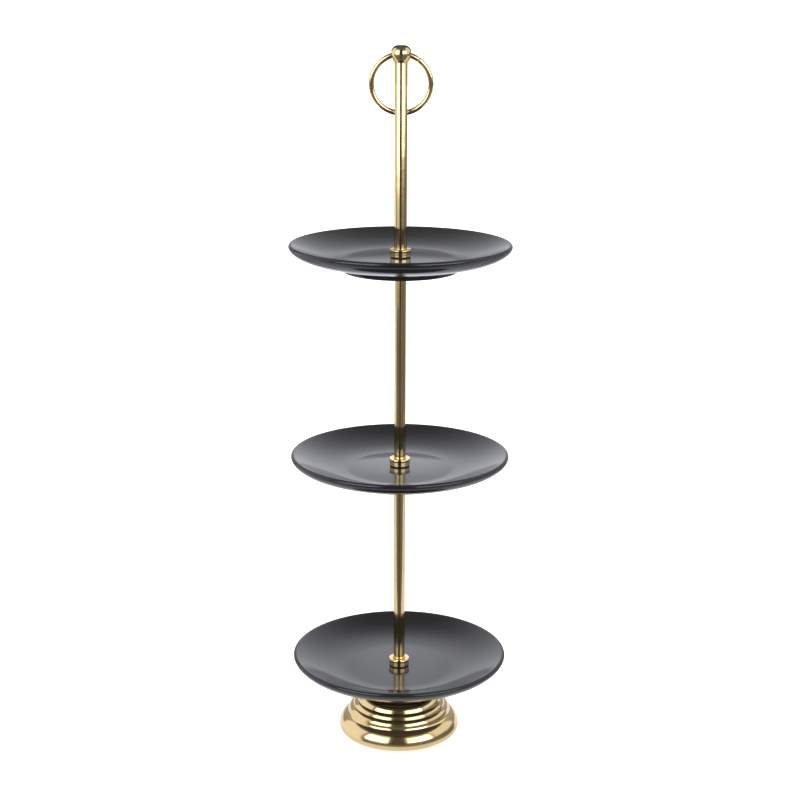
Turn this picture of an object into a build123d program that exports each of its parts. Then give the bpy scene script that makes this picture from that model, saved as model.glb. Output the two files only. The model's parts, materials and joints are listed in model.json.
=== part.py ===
"""Three-tier cake stand: glazed plates clamped on a screwed brass stem, with a swinging ring handle.

Millimetres, +Z up. The origin is on the stem's axis, on the surface that the stand rests on.
Front is -Y. The pieces stack along the axis, and every height below follows from the rim heights.
"""

import os
from math import asin, cos, degrees, radians, sin

from build123d import *

# ---------------------------------------------------------------- driving dimensions
overall_height = 508.0  # 20 inches, base to the top of the ball
rim_heights = {"bottom": 63.8, "middle": 218.2, "top": 371.5}

plate_radius = 78.9
plate_hole_radius = 3.5
dish_depths = {"bottom": 11.7, "middle": 9.8, "top": 9.8}  # rim to the level seat in the middle
well_radius = 38.0
well_flat_radius = 8.0  # level seat round the hole
well_crowns = {"bottom": 0.6, "middle": 1.4, "top": 0.6}  # fall from the seat to the well's edge
web_thickness = 4.6  # ceramic under the seat
foot_ring_outer_radius = 41.2
foot_ring_inner_radius = 37.2
foot_ring_height = 5.0
lip_radius = 1.8  # rounded edge of the rim
lip_inner_angle = 115.0  # where the lip meets the dish's wall
lip_outer_angle = -20.0  # where it meets the underside

stem_radius = 4.15
handle_stem_radius = 4.5
stem_chamfer = 0.5
thread_radius = 2.5  # M5
thread_depth = 0.4
thread_pitch = 0.8
thread_clearance = 0.05
through_hole_radius = 2.75
tapped_length = 13.0
engaged_length = 11.5

collar_height = 5.4
collar_radius = 7.2
collar_lip_radius = 7.65
collar_web = 1.5

support_radius = 12.0
support_hub_radius = 6.6
support_height = 8.0
support_web = 2.0
socket_clearance = 0.05

lower_gasket_thickness = 0.8
upper_gasket_thickness = 0.6

ball_radius = 7.1  # at its widest
ball_shoulder_radius = 5.1
ball_cap_radius = 2.0  # flat on the top
ball_seat_radius = 5.0
ball_lower_radius = 10.8
ball_hole_drop = 6.6  # top of the ball to the cross hole's axis
ball_hole_radius = 2.85
ball_seat_drop = 4.9  # cross hole's axis to the stem's end
spigot_length = 10.0

ring_mean_radius = 20.5
ring_wire_radius = 1.9
ring_arc_offset = 0.5  # top of the ring's centreline above the hinge axis
ring_stem_clearance = 0.2
ring_seam_angle = 35.0  # from the ring's top, clockwise seen from the front
ring_seam_gap = 0.25

deck_radius = 25.0
foot_lift = 0.5  # the pad stands proud of the metal
pad_radius = 34.3
pad_thickness = 2.0

# ---------------------------------------------------------------- heights along the axis
base_top = rim_heights["bottom"] - dish_depths["bottom"] - web_thickness - lower_gasket_thickness
ball_centre = overall_height - ball_hole_drop
stem_end = ball_centre - ball_seat_drop
tiers = list(rim_heights)


def floor_height(tier):
    return rim_heights[tier] - dish_depths[tier]


def underside_height(tier):
    return floor_height(tier) - web_thickness


def collar_base(tier):
    return floor_height(tier) + upper_gasket_thickness


def stem_start(tier):
    """Lower end of the stem that stands in this tier's collar."""
    return collar_base(tier) + collar_web


def support_top(tier):
    return underside_height(tier) - lower_gasket_thickness


def stem_finish(tier):
    """Upper end of the stem that carries this tier's support."""
    return support_top(tier) - support_web


# ---------------------------------------------------------------- shared shapes
def thread_points(start, finish):
    """Outline points of a screw thread as rings of V grooves, from start up to finish."""
    root = thread_radius - thread_depth
    turns = int((finish - start) / thread_pitch)
    points = [(root, start)]
    for turn in range(turns):
        height = start + turn * thread_pitch
        points.append((thread_radius, height + thread_pitch / 2))
        points.append((root, height + thread_pitch))
    points.append((root, finish))
    return points


def finish_node(part, name):
    part.label = name
    export_step(part, f"parts/{name}.step")


os.makedirs("parts", exist_ok=True)

# ---------------------------------------------------------------- base pedestal
# Turned outline from the neck down: a cove, three beads with grooves between, a hollow and the
# bulging foot. Each stretch is an arc, given by its length and by the angle above the horizontal
# that the outward normal has turned to at its end.
neck_foot = (24.9, 36.3)
neck_normal = 10.8
cove = (6.8, 49.9)
groove_length = 0.5
beads_and_grooves = [(5.2, 16.0), (groove_length, 66.0), (4.5, 14.0), (groove_length, 65.3), (5.6, 5.1)]
hollow = (3.0, 58.3)
bulge = (11.9, 0.0)
foot_edge = (37.6, foot_lift)
pad_ledge_radius = 31.0
boss_radius = 9.0
boss_bottom = 30.0
deck_bottom = base_top - 5.0


def turned_point(start, normal, length, end_normal):
    """End of an arc of that length, along which the outward normal turns from one angle to the other."""
    first, last = radians(normal), radians(end_normal)
    radius = length / (last - first)
    return (start[0] + radius * (cos(first) - cos(last)), start[1] - radius * (sin(last) - sin(first)))


with BuildPart() as base_pedestal:
    with BuildSketch(Plane.XZ):
        with BuildLine():
            Polyline(
                (through_hole_radius, base_top),
                (deck_radius - 0.6, base_top),
                (deck_radius, base_top - 0.6),
                (deck_radius, base_top - 2.0),
                (deck_radius - 0.5, base_top - 2.5),
                neck_foot,
            )
            last_point, normal = neck_foot, neck_normal
            for length, end_normal in (cove, *beads_and_grooves, hollow, bulge):
                middle = turned_point(last_point, normal, length / 2, (normal + end_normal) / 2)
                next_point = turned_point(last_point, normal, length, end_normal)
                ThreePointArc(last_point, middle, next_point)
                last_point, normal = next_point, end_normal
            foot_widest = last_point
            Bezier(foot_widest, (foot_widest[0], 3.0), (42.3, 1.3), foot_edge)
            Polyline(
                foot_edge,
                (pad_radius + 0.1, foot_lift),
                (pad_radius + 0.1, pad_thickness),
                (pad_ledge_radius, pad_thickness),
                (pad_ledge_radius, pad_thickness + 2.0),
                (38.0, pad_thickness + 2.2),
                (40.3, 5.6),
                (39.6, 9.5),
                (34.0, 13.2),
                (31.0, 18.0),
                (26.5, 26.0),
                (21.0, 34.0),
                (20.0, deck_bottom),
                (boss_radius, deck_bottom),
                (boss_radius, boss_bottom),
                (through_hole_radius, boss_bottom),
                (through_hole_radius, base_top),
            )
        make_face()
    revolve(axis=Axis.Z)
finish_node(base_pedestal.part, "base_pedestal")

with BuildPart() as base_pad:
    with BuildSketch():
        Circle(pad_radius)
    extrude(amount=pad_thickness)
    fillet(base_pad.faces().sort_by(Axis.Z)[0].edges(), 0.4)
finish_node(base_pad.part, "base_pad")

# ---------------------------------------------------------------- screw under the base
washer_thickness = 1.2
lock_washer_thickness = 1.3
washer_radius = 7.0
lock_washer_radius = 4.6
screw_head_radius = 4.25
screw_head_height = 5.0
hex_across_flats = 4.0
washer_bottom = boss_bottom - washer_thickness
lock_washer_bottom = washer_bottom - lock_washer_thickness
screw_tip = stem_start("bottom") + engaged_length
hex_depth = 2.6

with BuildPart() as base_washer:
    with BuildSketch(Plane.XY.offset(washer_bottom)):
        Circle(washer_radius)
        Circle(thread_radius + 0.2, mode=Mode.SUBTRACT)
    extrude(amount=washer_thickness)
    chamfer(base_washer.faces().sort_by(Axis.Z)[0].outer_wire().edges(), 0.25)
finish_node(base_washer.part, "base_washer")

with BuildPart() as base_lock_washer:
    with BuildSketch(Plane.XY.offset(lock_washer_bottom)):
        Circle(lock_washer_radius)
        Circle(thread_radius + 0.1, mode=Mode.SUBTRACT)
        with Locations((lock_washer_radius - 1.0, 0)):
            Rectangle(4.0, 0.6, rotation=20, mode=Mode.SUBTRACT)
    extrude(amount=lock_washer_thickness)
finish_node(base_lock_washer.part, "base_lock_washer")

with BuildPart() as base_screw:
    with BuildSketch(Plane.XZ):
        with BuildLine():
            Polyline(
                (0, lock_washer_bottom - screw_head_height),
                (screw_head_radius - 0.5, lock_washer_bottom - screw_head_height),
                (screw_head_radius, lock_washer_bottom - screw_head_height + 0.5),
                (screw_head_radius, lock_washer_bottom),
                *thread_points(lock_washer_bottom, screw_tip),
                (0, screw_tip),
                close=True,
            )
        make_face()
    revolve(axis=Axis.Z)
    with BuildSketch(Plane.XY.offset(lock_washer_bottom - screw_head_height)):
        RegularPolygon(hex_across_flats / 2, 6, major_radius=False)
    extrude(amount=hex_depth, mode=Mode.SUBTRACT)
finish_node(base_screw.part, "base_screw")

# ---------------------------------------------------------------- plates, gaskets and collars
def lip_point(rim, angle):
    centre = plate_radius - lip_radius
    return (centre + lip_radius * cos(radians(angle)), rim - lip_radius + lip_radius * sin(radians(angle)))


def lip_tangent(rim, angle, length):
    """Point on the lip's tangent, going clockwise from the lip's point at the angle."""
    radius, height = lip_point(rim, angle)
    return (radius + length * sin(radians(angle)), height - length * cos(radians(angle)))


for tier in tiers:
    rim = rim_heights[tier]
    well = floor_height(tier)
    underside = underside_height(tier)
    foot_bottom = underside - foot_ring_height
    crown = well_crowns[tier]

    with BuildPart() as plate:
        with BuildSketch(Plane.XZ):
            with BuildLine():
                Line((plate_hole_radius, well), (well_flat_radius, well))
                Bezier(
                    (well_flat_radius, well),
                    (well_radius - 18.0, well),
                    (well_radius - 10.0, well - 0.53 * crown),
                    (well_radius, well - crown),
                )
                Bezier(
                    (well_radius, well - crown),
                    (well_radius + 15.0, well - crown + 0.1),
                    lip_tangent(rim, lip_inner_angle, -11.0),
                    lip_point(rim, lip_inner_angle),
                )
                ThreePointArc(
                    lip_point(rim, lip_inner_angle),
                    lip_point(rim, 45.0),
                    lip_point(rim, lip_outer_angle),
                )
                Bezier(
                    lip_point(rim, lip_outer_angle),
                    lip_tangent(rim, lip_outer_angle, 6.0),
                    (62.0, well - 3.7),
                    (foot_ring_outer_radius, well - 5.4),
                )
                Polyline(
                    (foot_ring_outer_radius, well - 5.4),
                    (foot_ring_outer_radius - 0.3, foot_bottom),
                    (foot_ring_inner_radius + 0.6, foot_bottom),
                    (foot_ring_inner_radius, underside),
                    (plate_hole_radius, underside),
                    (plate_hole_radius, well),
                )
            make_face()
        revolve(axis=Axis.Z)
        foot_edges = plate.edges().filter_by_position(Axis.Z, foot_bottom - 0.01, foot_bottom + 0.01)
        fillet(foot_edges, 1.0)
    finish_node(plate.part, f"{tier}_plate")

    # A wide gasket lies on the base's deck, and small ones on the stem supports.
    gasket_radius = deck_radius - 1.0 if tier == "bottom" else support_radius - 0.5
    with BuildPart() as lower_gasket:
        with BuildSketch(Plane.XY.offset(underside - lower_gasket_thickness)):
            Circle(gasket_radius)
            Circle(plate_hole_radius, mode=Mode.SUBTRACT)
        extrude(amount=lower_gasket_thickness)
    finish_node(lower_gasket.part, f"{tier}_lower_gasket")

    with BuildPart() as upper_gasket:
        with BuildSketch(Plane.XY.offset(well)):
            Circle(collar_radius - 0.3)
            Circle(plate_hole_radius, mode=Mode.SUBTRACT)
        extrude(amount=upper_gasket_thickness)
    finish_node(upper_gasket.part, f"{tier}_upper_gasket")

    # The collar is a cup with a rolled lip: the stem's end sits on its web.
    seat = collar_base(tier)
    socket_radius = (handle_stem_radius if tier == "top" else stem_radius) + socket_clearance
    with BuildPart() as collar:
        with BuildSketch(Plane.XZ):
            with BuildLine():
                Polyline(
                    (through_hole_radius, seat),
                    (collar_radius - 0.3, seat),
                    (collar_radius, seat + 0.3),
                    (collar_radius, seat + 3.3),
                )
                ThreePointArc(
                    (collar_radius, seat + 3.3),
                    (collar_radius + 0.18, seat + 3.75),
                    (collar_lip_radius, seat + 4.0),
                )
                ThreePointArc(
                    (collar_lip_radius, seat + 4.0),
                    (collar_lip_radius + 0.15, seat + 4.6),
                    (collar_lip_radius - 0.3, seat + collar_height),
                )
                Polyline(
                    (collar_lip_radius - 0.3, seat + collar_height),
                    (socket_radius + 0.5, seat + collar_height - 0.35),
                    (socket_radius, seat + collar_height - 0.8),
                    (socket_radius, seat + collar_web),
                    (through_hole_radius, seat + collar_web),
                    (through_hole_radius, seat),
                )
            make_face()
        revolve(axis=Axis.Z)
    finish_node(collar.part, f"{tier}_collar")

# ---------------------------------------------------------------- supports under the upper plates
for tier in ("middle", "top"):
    flange_top = support_top(tier)
    with BuildPart() as support:
        with BuildSketch(Plane.XY.offset(flange_top - support_height)):
            Circle(support_hub_radius)
        extrude(amount=support_height)
        with BuildSketch(Plane.XY.offset(flange_top - 2.4)):
            Circle(support_radius)
        extrude(amount=2.4)
        rim_edges = support.faces().sort_by(Axis.Z)[-1].edges()
        chamfer(rim_edges, 0.4)
        with BuildSketch(Plane.XY.offset(flange_top - support_height)):
            Circle(stem_radius + socket_clearance)
        extrude(amount=support_height - support_web, mode=Mode.SUBTRACT)
        with BuildSketch(Plane.XY.offset(flange_top)):
            Circle(through_hole_radius)
        extrude(amount=-support_height, mode=Mode.SUBTRACT)
    finish_node(support.part, f"{tier}_support")

# ---------------------------------------------------------------- stems
# Each stem is a rod with a tapped blind hole in both ends.
stems = {
    "lower_stem": (stem_radius, stem_start("bottom"), stem_finish("middle")),
    "middle_stem": (stem_radius, stem_start("middle"), stem_finish("top")),
    "handle_stem": (handle_stem_radius, stem_start("top"), stem_end),
}
for name, (radius, start, finish) in stems.items():
    with BuildPart() as stem:
        with BuildSketch(Plane.XY.offset(start)):
            Circle(radius)
        extrude(amount=finish - start)
        end_faces = stem.faces().filter_by(GeomType.PLANE)
        fillet(end_faces.edges(), stem_chamfer)
        for hole_start in (start, finish - tapped_length):
            with BuildSketch(Plane.XY.offset(hole_start)):
                Circle(thread_radius + thread_clearance)
            extrude(amount=tapped_length, mode=Mode.SUBTRACT)
    finish_node(stem.part, name)

# ---------------------------------------------------------------- studs that join the stems
for tier in ("middle", "top"):
    stud_start = stem_finish(tier) - engaged_length
    stud_finish = stem_start(tier) + engaged_length
    with BuildPart() as stud:
        with BuildSketch(Plane.XZ):
            with BuildLine():
                Polyline(
                    (0, stud_start),
                    *thread_points(stud_start, stud_finish),
                    (0, stud_finish),
                    close=True,
                )
            make_face()
        revolve(axis=Axis.Z)
    finish_node(stud.part, f"{tier}_stud")

# ---------------------------------------------------------------- ball finial
# A slightly flattened ball: a small flat cap, a round shoulder to the widest, and a slacker curve
# down to the flat that sits on the stem.
ball_widest = overall_height - ball_shoulder_radius
lower_turn = asin((ball_widest - stem_end) / ball_lower_radius) / 2
shoulder_turn = radians(45.0)

with BuildPart() as ball_finial:
    with BuildSketch(Plane.XZ):
        with BuildLine():
            Line((0, overall_height), (0, stem_end - spigot_length))
            Polyline(
                (0, stem_end - spigot_length),
                *thread_points(stem_end - spigot_length, stem_end),
                (ball_seat_radius, stem_end),
            )
            ThreePointArc(
                (ball_seat_radius, stem_end),
                (
                    ball_radius - ball_lower_radius * (1 - cos(lower_turn)),
                    ball_widest - ball_lower_radius * sin(lower_turn),
                ),
                (ball_radius, ball_widest),
            )
            ThreePointArc(
                (ball_radius, ball_widest),
                (
                    ball_cap_radius + ball_shoulder_radius * cos(shoulder_turn),
                    ball_widest + ball_shoulder_radius * sin(shoulder_turn),
                ),
                (ball_cap_radius, overall_height),
            )
            Line((ball_cap_radius, overall_height), (0, overall_height))
        make_face()
    revolve(axis=Axis.Z)
    with BuildSketch(Plane.YZ.offset(-ball_radius)):
        with Locations((0, ball_centre)):
            Circle(ball_hole_radius)
    extrude(amount=2 * ball_radius, mode=Mode.SUBTRACT)
finish_node(ball_finial.part, "ball_finial")

# ---------------------------------------------------------------- ring handle
# The ring hangs in the ball's cross hole and leans on the back of the stem.
hang_length = 2 * ring_mean_radius - ring_arc_offset
lean = asin((handle_stem_radius + ring_wire_radius + ring_stem_clearance) / hang_length)
centre_drop = ring_mean_radius - ring_arc_offset
ring_centre = Vector(0, centre_drop * sin(lean), ball_centre - centre_drop * cos(lean))
ring_normal = Vector(0, cos(lean), sin(lean))
ring_up = Vector(0, -sin(lean), cos(lean))
ring_side = Vector(1, 0, 0)
seam = radians(ring_seam_angle)
seam_direction = ring_side * sin(seam) + ring_up * cos(seam)
seam_plane = Plane(origin=ring_centre, x_dir=seam_direction, z_dir=seam_direction.cross(ring_normal))
seam_gap_angle = degrees(ring_seam_gap / ring_mean_radius)

with BuildPart() as ring_handle:
    with BuildSketch(seam_plane):
        with Locations((ring_mean_radius, 0)):
            Circle(ring_wire_radius)
    revolve(axis=Axis(ring_centre, ring_normal), revolution_arc=360 - seam_gap_angle)
    fillet(ring_handle.faces().filter_by(GeomType.PLANE).edges(), 0.35)
finish_node(ring_handle.part, "ring_handle")

print("lean of the ring, degrees", round(degrees(lean), 3))
print("ring centre", ring_centre)
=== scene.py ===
"""Tiered cake stand: the visible surfaces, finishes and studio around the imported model.

Laid out as an add-on. Every size is in metres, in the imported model's frame: +Z up along the stem,
the surface that the stand rests on at z = 0, and the front towards -Y.
"""

import json
from math import asin, cos, degrees, pi, radians, sin

import bpy
import numpy as np
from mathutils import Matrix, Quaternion, Vector


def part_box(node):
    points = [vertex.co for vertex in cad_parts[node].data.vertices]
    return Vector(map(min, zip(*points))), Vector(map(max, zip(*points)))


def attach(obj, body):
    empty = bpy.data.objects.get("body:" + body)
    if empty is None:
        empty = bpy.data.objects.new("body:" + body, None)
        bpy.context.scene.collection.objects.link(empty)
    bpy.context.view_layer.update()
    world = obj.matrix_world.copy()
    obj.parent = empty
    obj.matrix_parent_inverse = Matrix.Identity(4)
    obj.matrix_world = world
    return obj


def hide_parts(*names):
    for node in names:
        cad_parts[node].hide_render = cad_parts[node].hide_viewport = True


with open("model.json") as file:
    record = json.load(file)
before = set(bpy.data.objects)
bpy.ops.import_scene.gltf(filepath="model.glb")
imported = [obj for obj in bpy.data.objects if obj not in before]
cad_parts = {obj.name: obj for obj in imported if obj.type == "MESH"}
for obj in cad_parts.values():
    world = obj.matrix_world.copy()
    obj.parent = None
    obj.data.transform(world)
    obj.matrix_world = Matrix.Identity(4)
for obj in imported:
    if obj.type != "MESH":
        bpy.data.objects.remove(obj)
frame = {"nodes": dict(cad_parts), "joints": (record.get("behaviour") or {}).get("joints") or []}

bl_info = {
    "name": "Tiered Cake Stand",
    "version": (1, 0, 0),
    "blender": (4, 5, 0),
    "location": "View3D > Sidebar > Cake Stand",
    "description": "Builds the glazed plates, brass stem, stepped base and ring handle of a cake stand",
    "category": "Object",
}

TIERS = ("bottom", "middle", "top")
MM = 0.001


# ---------------------------------------------------------------- sizes and colours
def length(name, description, millimetres):
    return bpy.props.FloatProperty(
        name=name, description=description, default=millimetres * MM, unit="LENGTH", precision=5
    )


def angle(name, description, value):
    return bpy.props.FloatProperty(
        name=name, description=description, default=radians(value), subtype="ANGLE"
    )


def colour(name, description, value):
    return bpy.props.FloatVectorProperty(
        name=name, description=description, default=value, size=3, subtype="COLOR", min=0, max=1
    )


def amount(name, description, value):
    return bpy.props.FloatProperty(name=name, description=description, default=value, min=0)


class PlateSizes(bpy.types.PropertyGroup):
    bottom_depth: length("Bottom depth", "Rim to the level seat, bottom plate", 11.7)
    middle_depth: length("Middle depth", "Rim to the level seat, middle plate", 9.8)
    top_depth: length("Top depth", "Rim to the level seat, top plate", 9.8)
    seat_radius: length("Seat", "Radius of the level seat round the hole", 8.0)
    well_radius: length("Well radius", "Radius of the well", 38.0)
    bottom_crown: length("Bottom crown", "Fall from the seat to the well's edge, bottom plate", 0.6)
    middle_crown: length("Middle crown", "Fall from the seat to the well's edge, middle plate", 1.4)
    top_crown: length("Top crown", "Fall from the seat to the well's edge, top plate", 0.6)
    web: length("Web", "Ceramic under the well", 4.6)
    hole_radius: length("Hole radius", "Hole for the stud", 3.5)
    lip_radius: length("Lip radius", "Rounding of the rim", 1.8)
    foot_outer: length("Foot ring outside", "Outer radius of the foot ring", 41.2)
    foot_inner: length("Foot ring inside", "Inner radius of the foot ring", 37.2)
    foot_rounding: length("Foot rounding", "Rounding of the foot ring's edges", 1.0)


class MetalSizes(bpy.types.PropertyGroup):
    stem_edge: length("Stem edge", "Rounding of the stems' ends", 0.5)
    tapped_radius: length("Tapped hole", "Radius of the holes in the stems' ends", 2.55)
    tapped_length: length("Tapped length", "Depth of the holes in the stems' ends", 13.0)
    through_radius: length("Through hole", "Radius of the holes that the screws pass", 2.75)
    collar_radius: length("Collar", "Radius of a collar's wall", 7.2)
    collar_lip: length("Collar lip", "Radius of a collar's rolled lip", 7.65)
    collar_web: length("Collar web", "Thickness of a collar's floor", 1.5)
    support_hub: length("Support hub", "Radius of a support's hub", 6.6)
    support_flange: length("Support flange", "Thickness of a support's flange", 2.4)
    support_web: length("Support web", "Metal above a support's socket", 2.0)
    socket_clearance: length("Socket clearance", "Gap round a stem in its socket", 0.05)
    ball_seat_drop: length("Ball seat", "Ball's centre to the stem's end", 4.9)
    ball_hole: length("Ball hole", "Radius of the ball's cross hole", 2.85)
    ball_shoulder: length("Ball shoulder", "Radius of the ball's upper curve", 5.1)
    ball_lower: length("Ball underside", "Radius of the ball's lower curve", 10.8)
    wire_radius: length("Ring wire", "Radius of the ring's wire", 1.9)
    ring_radius: length("Ring", "Radius of the wire's centreline", 20.5)
    ring_offset: length("Ring offset", "Top of the centreline above the hinge axis", 0.5)
    seam_angle: angle("Seam angle", "Ring's seam, clockwise from its top seen from the front", 35.0)


class Finishes(bpy.types.PropertyGroup):
    glaze: colour("Glaze", "Colour of the black glaze", (0.0080, 0.0086, 0.0108))
    glaze_thin: colour("Thin glaze", "Glaze where it runs thin", (0.0150, 0.0148, 0.0160))
    bare_clay: colour("Bare clay", "Unglazed edge of the foot ring", (0.055, 0.050, 0.048))
    brass: colour("Brass", "Polished brass", (0.86, 0.66, 0.345))
    brass_deep: colour("Deep brass", "Brass in its duller patches", (0.78, 0.565, 0.265))
    rubber: colour("Rubber", "Gaskets and pad", (0.022, 0.022, 0.023))
    steel: colour("Steel", "Plated screws", (0.60, 0.60, 0.62))
    floor: colour("Floor", "Pale floor", (0.90, 0.90, 0.90))


class Studio(bpy.types.PropertyGroup):
    camera_distance: length("Camera distance", "Camera to the stem's axis, along the floor", 1168.9)
    camera_height: length("Camera height", "Camera above the floor", 569.3)
    camera_pitch: angle("Camera pitch", "How far the camera looks down", 14.93)
    camera_roll: angle("Camera roll", "Small clockwise lean of the camera", 0.2)
    lens: amount("Lens", "Focal length in millimetres on a 36 mm sensor", 75.64)
    backdrop_distance: length("Backdrop", "Lit backdrop to the stem's axis", 300.0)
    flag_distance: length("Flag", "Black flag to the stem's axis", 150.0)
    flag_side: length("Flag side", "Half the flag's width", 46.0)
    flag_bottom: length("Flag bottom", "Lower edge of the flag", 368.0)
    flag_top: length("Flag top", "Upper edge of the flag", 389.4)
    flag_level: amount("Flag brightness", "Brightness of the flag", 0.12)
    screen_distance: length("Screen distance", "Softboxes and dark room to the stem's axis", 1570.0)
    left_from: angle("Left box from", "Direction of its outer edge, from the front", -66.0)
    left_to: angle("Left box to", "Direction of its inner edge, from the front", -21.0)
    left_bottom: length("Left box bottom", "Lower edge of the left softbox", 216.0)
    right_from: angle("Right box from", "Direction of its inner edge, from the front", 17.0)
    right_to: angle("Right box to", "Direction of its outer edge, from the front", 66.0)
    right_bottom: length("Right box bottom", "Lower edge of the right softbox", 262.0)
    box_top: length("Box top", "Upper edge of the softboxes", 1372.0)
    box_level: amount("Softbox level", "Brightness of a softbox, with white at 1", 3.2)
    left_spill: amount("Left spill", "Brightness of what stands under the left softbox", 0.70)
    right_spill: amount("Right spill", "Brightness of what stands under the right softbox", 0.26)
    gap_level: amount("Gap", "Brightness between the softboxes", 0.06)
    table_front: length("Table front", "Front edge of the white table, from the axis", 190.0)
    top_level: amount("Top light", "Strength of the soft light from above", 3.5)
    floor_glow: amount("Floor glow", "Brightness that the floor adds of its own", 0.62)
    left_level: amount("Left wall", "Brightness of the wall on the left", 1.05)
    right_level: amount("Right wall", "Brightness of the wall on the right, above the horizon", 0.95)
    dark_level: amount("Dark side", "Brightness of the room round the camera", 0.18)
    table_level: amount("Table", "Brightness of the white table", 0.90)


# Brightness of the wall and ceiling behind the stand, by elevation in degrees.
BACK_LEVELS = ((-90, 1.05), (8, 1.05), (24, 1.0), (33, 0.7), (42, 0.45), (52, 0.28), (62, 0.14), (90, 0.10))

# Brightness of the lit backdrop close behind the stand, by height in metres, and how much of it is
# left at a distance to the side in metres.
BACKDROP_HEIGHTS = ((0, 1.0), (0.1, 1.2), (0.2, 1.43), (0.33, 1.5), (0.4, 1.15), (0.5, 0.7), (0.6, 0.36),
                    (0.7, 0.12), (1.2, 0.06))
BACKDROP_SIDES = ((0, 1.0), (0.04, 0.92), (0.09, 0.62), (0.15, 0.42), (0.4, 0.25))
BACKDROP_TINT = (0.955, 0.97, 1.045)
SOFTBOX_TINT = (0.97, 1.0, 1.01)

# Base's outline below its neck: the neck's normal in degrees, then stretches as lengths in
# millimetres and end normals in degrees: cove, first bead, groove, second bead, groove, third
# bead, hollow and foot.
NECK_NORMAL = 10.8
PEDESTAL_TURNS = ((6.8, 49.9), (5.2, 16.0), (0.5, 66.0), (4.5, 14.0), (0.5, 65.3), (5.6, 5.1), (3.0, 58.3),
                  (11.9, 0.0))

# Underside of the base in millimetres, from the foot's edge over the pad's ledge up to the deck.
PEDESTAL_HOLLOW = ((37.6, 0.5), (34.4, 0.5), (34.4, 2.0), (31.0, 2.0), (31.0, 4.0), (38.0, 4.2), (40.3, 5.6),
                   (39.6, 9.5), (34.0, 13.2), (31.0, 18.0), (26.5, 26.0), (21.0, 34.0))
BOSS_RADIUS, BOSS_BOTTOM = 9.0, 30.0

# Spigot under the ball in millimetres: root and crest of its thread, and the pitch.
THREAD_ROOT, THREAD_CREST, THREAD_PITCH = 2.1, 2.5, 0.8

# Seam of the bent wire: share of the wire's radius that it loses, and its width in millimetres.
SEAM_DEPTH, SEAM_WIDTH = 0.42, 0.22

# Room in degrees round from the front: the left wall, the dark side and the pale wall on the right.
# The ceiling darkens between two angles above the horizon.
LEFT_WALL, DARK_SIDE, RIGHT_WALL = (-142, -74), (-74, 132), (72, 132)
CEILING_RISE, CEILING_LEVEL = (36, 60), 0.14

SETTINGS = {
    "stand_plates": PlateSizes,
    "stand_metal": MetalSizes,
    "stand_finishes": Finishes,
    "stand_studio": Studio,
}


# ---------------------------------------------------------------- outlines
# An outline is an array of (radius, height) points, which a lathe turns about an axis.
def straight(start, finish, edge=0.25 * MM, longest=6.0 * MM):
    """Points of a straight stretch: its ends, one point close to each end, and even steps between."""
    start, finish = np.array(start, float), np.array(finish, float)
    span = np.linalg.norm(finish - start)
    edge = min(edge, span / 4)
    steps = max(int(np.ceil((span - 2 * edge) / longest)), 1)
    along = np.concatenate(([0.0], np.linspace(edge, span - edge, steps + 1), [span]))
    return start + (finish - start) * (along / span)[:, None]


def arc(centre, radius, first, last, count=12):
    """Points of an arc: the centre plus the radius times (cos a, sin a), from first to last degrees."""
    turn = np.radians(np.linspace(first, last, count + 1))
    return np.array(centre) + radius * np.stack((np.cos(turn), np.sin(turn)), axis=1)


def arc_through(start, middle, finish, count=14):
    """Points of the arc through three points: its centre is as far from each of them."""
    a, b, c = (np.array(p, float) for p in (start, middle, finish))
    centre = np.linalg.solve(2 * np.array([b - a, c - a]), [b @ b - a @ a, c @ c - a @ a])
    turns = [np.arctan2(*(p - centre)[::-1]) for p in (a, b, c)]
    first, mid, last = np.unwrap(turns)
    if not min(first, last) <= mid <= max(first, last):
        last += 2 * pi if mid > last else -2 * pi
    return arc(centre, np.linalg.norm(a - centre), degrees(first), degrees(last), count)


def cubic(p0, p1, p2, p3, count=36):
    """Points of a cubic Bezier curve: its four points weighted by the Bernstein polynomials."""
    t = np.linspace(0, 1, count + 1)[:, None]
    p0, p1, p2, p3 = (np.array(p, float) for p in (p0, p1, p2, p3))
    return (1 - t) ** 3 * p0 + 3 * (1 - t) ** 2 * t * p1 + 3 * (1 - t) * t**2 * p2 + t**3 * p3


def rounded(points, radius, closed=True, count=6):
    """Outline of a polygon with each corner replaced by an arc that touches both its sides."""
    corners = [np.array(p, float) for p in points]
    stretches = []
    last = len(corners)
    for i, corner in enumerate(corners):
        before, after = corners[i - 1], corners[(i + 1) % last]
        ends = not closed and i in (0, last - 1)
        into = (before - corner) / np.linalg.norm(before - corner)
        out = (after - corner) / np.linalg.norm(after - corner)
        half = np.arccos(np.clip(into @ out, -1, 1)) / 2
        on_axis = corner[0] < 1e-7
        if ends or on_axis or half > radians(89):
            stretches.append(corner[None])
            continue
        back = radius / np.tan(half)
        centre = corner + (into + out) / np.linalg.norm(into + out) * radius / np.sin(half)
        start, finish = corner + into * back, corner + out * back
        a0, a1 = np.unwrap([np.arctan2(*(p - centre)[::-1]) for p in (start, finish)])
        stretches.append(arc(centre, radius, degrees(a0), degrees(a1), count))
    full = []
    for i, stretch in enumerate(stretches):
        full.append(stretch)
        if closed or i < last - 1:
            full.append(straight(stretch[-1], stretches[(i + 1) % last][0]))
    return chain(*full)


def chain(*stretches):
    """One outline from several stretches, without the points that two of them share."""
    points = np.concatenate(stretches)
    gaps = np.linalg.norm(np.diff(points, axis=0), axis=1)
    return points[np.concatenate(([True], gaps > 1e-8))]


def path(*points):
    """Straight stretches from each point to the next."""
    return chain(*(straight(a, b) for a, b in zip(points, points[1:])))


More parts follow.
